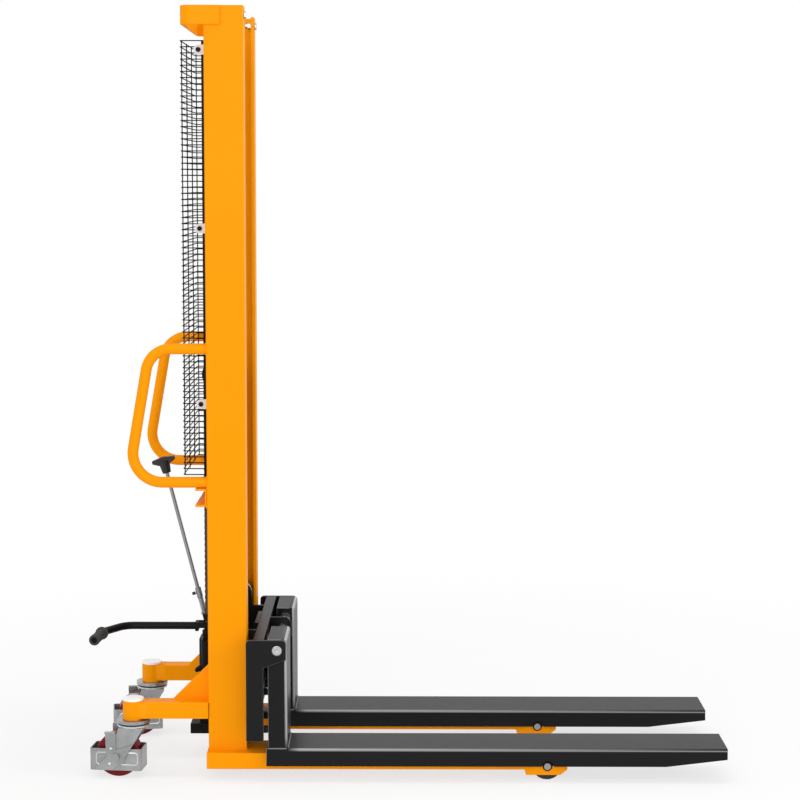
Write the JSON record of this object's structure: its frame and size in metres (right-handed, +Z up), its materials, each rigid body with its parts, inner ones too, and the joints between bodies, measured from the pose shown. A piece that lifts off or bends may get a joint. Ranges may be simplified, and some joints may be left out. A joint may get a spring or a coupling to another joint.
{
  "type": "high-lift pallet truck",
  "caption": "Manual hydraulic high-lift pallet truck: forks on a chain-lifted carriage run up an orange channel mast with a wire guard, straddled by base legs on rollers and castors.",
  "frame": {"origin": "on the floor under the middle of the outline", "axes": "+X along the forks away from the operator, +Y to the operator's left as they face the mast, +Z up"},
  "size_m": [1.656, 0.574, 1.987],
  "materials": {
    "frame_paint": "gloss orange",
    "dark_paint": "satin dark grey",
    "black_metal": "satin black",
    "zinc": "zinc plated",
    "steel": "bright turned",
    "ram_chrome": "hard chrome",
    "tab_paint": "light grey",
    "cap_white": "white moulded",
    "rubber": "moulded",
    "tread": "dark red elastomer",
    "nylon": "moulded"
  },
  "bodies": {
    "chassis": {"mast_left": "frame_paint", "mast_right": "frame_paint", "mast_top_hoop": "frame_paint", "mast_crossbeam": "frame_paint", "base_crossbeam": "frame_paint", "leg_left": "frame_paint", "leg_right": "frame_paint", "castor_arm_left": "frame_paint", "castor_arm_right": "frame_paint", "stem_caps": "cap_white", "handle_left": "frame_paint", "handle_right": "frame_paint", "guard_rear_net": "black_metal", "guard_side_nets": "black_metal", "guard_clamps": "tab_paint", "stop_bolts": "steel", "ram_cylinder": "black_metal", "pump_body": "black_metal", "oil_tank": "black_metal", "frame_chain_anchor": "black_metal", "load_roller_axles": "steel", "pump_spring": "black_metal"},
    "carriage": {"carriage_side_plate_left": "dark_paint", "carriage_side_plate_right": "dark_paint", "carriage_top_bar": "dark_paint", "carriage_bottom_bar": "dark_paint", "roller_plate_left": "dark_paint", "roller_plate_right": "dark_paint", "fork_shaft": "steel", "carriage_centre_plate": "dark_paint", "carriage_chain_anchor": "dark_paint"},
    "ram": {"ram_rod": "ram_chrome", "pulley_yoke": "black_metal", "chain_wraps": "black_metal", "chain_rear_runs": "black_metal", "chain_front_runs": "black_metal"},
    "pulleys": {"chain_pulleys": "black_metal"},
    "pedal": {"pedal_lever": "black_metal", "pedal_grip": "rubber"},
    "plunger": {"pump_plunger": "black_metal"},
    "release": {"release_knob": "nylon", "release_rod": "steel", "release_spring": "steel"},
    "fork_left": {"fork_left": "dark_paint"},
    "load_roller_left": {"load_roller_left": "nylon"},
    "mast_roller_upper_left": {"mast_roller_upper_left": "steel"},
    "mast_roller_lower_left": {"mast_roller_lower_left": "steel"},
    "castor_left": {"castor_yoke_left": "zinc", "castor_guard_left": "zinc"},
    "castor_wheel_left": {"castor_core_left": "nylon", "castor_tyre_left": "tread"},
    "fork_right": {"fork_right": "dark_paint"},
    "load_roller_right": {"load_roller_right": "nylon"},
    "mast_roller_upper_right": {"mast_roller_upper_right": "steel"},
    "mast_roller_lower_right": {"mast_roller_lower_right": "steel"},
    "castor_right": {"castor_yoke_right": "zinc", "castor_guard_right": "zinc"},
    "castor_wheel_right": {"castor_core_right": "nylon", "castor_tyre_right": "tread"}
  },
  "joints": [
    {"name": "carriage_lift", "type": "slide", "parent": "chassis", "child": "carriage", "axis": [0, 0, 1], "range_m": [0, 1.51]},
    {"name": "ram_extend", "type": "slide", "parent": "chassis", "child": "ram", "axis": [0, 0, 1], "range_m": [0, 0.755], "deforming": ["chain_rear_runs", "chain_front_runs"]},
    {"name": "chain_pulley_spin", "type": "hinge", "parent": "ram", "child": "pulleys", "pos_m": [-0.50804, 0, 1.04], "axis": [0, 1, 0], "continuous": true},
    {"name": "pedal_press", "type": "hinge", "parent": "chassis", "child": "pedal", "pos_m": [-0.51604, -0.042, 0.362], "axis": [0, -1, 0], "range_deg": [0, 25], "stiffness_Nm_per_rad": 20, "springref_deg": -17.19},
    {"name": "plunger_stroke", "type": "slide", "parent": "chassis", "child": "plunger", "axis": [0, 0, -1], "range_m": [0, 0.0094], "deforming": ["pump_spring"]},
    {"name": "release_turn", "type": "hinge", "parent": "chassis", "child": "release", "pos_m": [-0.55004, 0.022, 0.383], "axis": [-0.2479, 0, 0.9688], "range_deg": [0, 90]},
    {"name": "fork_tilt_left", "type": "hinge", "parent": "carriage", "child": "fork_left", "pos_m": [-0.33604, 0.195, 0.35], "axis": [0, -1, 0], "range_deg": [0, 15]},
    {"name": "load_roller_spin_left", "type": "hinge", "parent": "chassis", "child": "load_roller_left", "pos_m": [0.36296, 0.195, 0.04], "axis": [0, 1, 0], "continuous": true},
    {"name": "mast_roller_spin_upper_left", "type": "hinge", "parent": "carriage", "child": "mast_roller_upper_left", "pos_m": [-0.46734, 0.195, 0.405], "axis": [0, 1, 0], "continuous": true},
    {"name": "mast_roller_spin_lower_left", "type": "hinge", "parent": "carriage", "child": "mast_roller_lower_left", "pos_m": [-0.46874, 0.195, 0.133], "axis": [0, 1, 0], "continuous": true},
    {"name": "castor_swivel_left", "type": "hinge", "parent": "chassis", "child": "castor_left", "pos_m": [-0.71604, 0.205, 0.151], "axis": [0, 0, 1], "continuous": true},
    {"name": "castor_wheel_spin_left", "type": "hinge", "parent": "castor_left", "child": "castor_wheel_left", "pos_m": [-0.75367, 0.19971, 0.058], "axis": [-0.1392, 0.9903, 0], "continuous": true},
    {"name": "fork_tilt_right", "type": "hinge", "parent": "carriage", "child": "fork_right", "pos_m": [-0.33604, -0.195, 0.35], "axis": [0, -1, 0], "range_deg": [0, 15]},
    {"name": "load_roller_spin_right", "type": "hinge", "parent": "chassis", "child": "load_roller_right", "pos_m": [0.36296, -0.195, 0.04], "axis": [0, 1, 0], "continuous": true},
    {"name": "mast_roller_spin_upper_right", "type": "hinge", "parent": "carriage", "child": "mast_roller_upper_right", "pos_m": [-0.46734, -0.195, 0.405], "axis": [0, 1, 0], "continuous": true},
    {"name": "mast_roller_spin_lower_right", "type": "hinge", "parent": "carriage", "child": "mast_roller_lower_right", "pos_m": [-0.46874, -0.195, 0.133], "axis": [0, 1, 0], "continuous": true},
    {"name": "castor_swivel_right", "type": "hinge", "parent": "chassis", "child": "castor_right", "pos_m": [-0.71604, -0.205, 0.151], "axis": [0, 0, 1], "continuous": true},
    {"name": "castor_wheel_spin_right", "type": "hinge", "parent": "castor_right", "child": "castor_wheel_right", "pos_m": [-0.75383, -0.20103, 0.058], "axis": [0.1045, 0.9945, 0], "continuous": true}
  ],
  "couplings": [
    {"joint": "ram_extend", "follows": "carriage_lift", "ratio": 0.5},
    {"joint": "chain_pulley_spin", "follows": "carriage_lift", "rad_per_m": -18.182},
    {"joint": "plunger_stroke", "follows": "pedal_press", "m_per_rad": 0.0205},
    {"joint": "mast_roller_spin_upper_left", "follows": "carriage_lift", "rad_per_m": 25},
    {"joint": "mast_roller_spin_lower_left", "follows": "carriage_lift", "rad_per_m": -25},
    {"joint": "mast_roller_spin_upper_right", "follows": "carriage_lift", "rad_per_m": 25},
    {"joint": "mast_roller_spin_lower_right", "follows": "carriage_lift", "rad_per_m": -25}
  ]
}
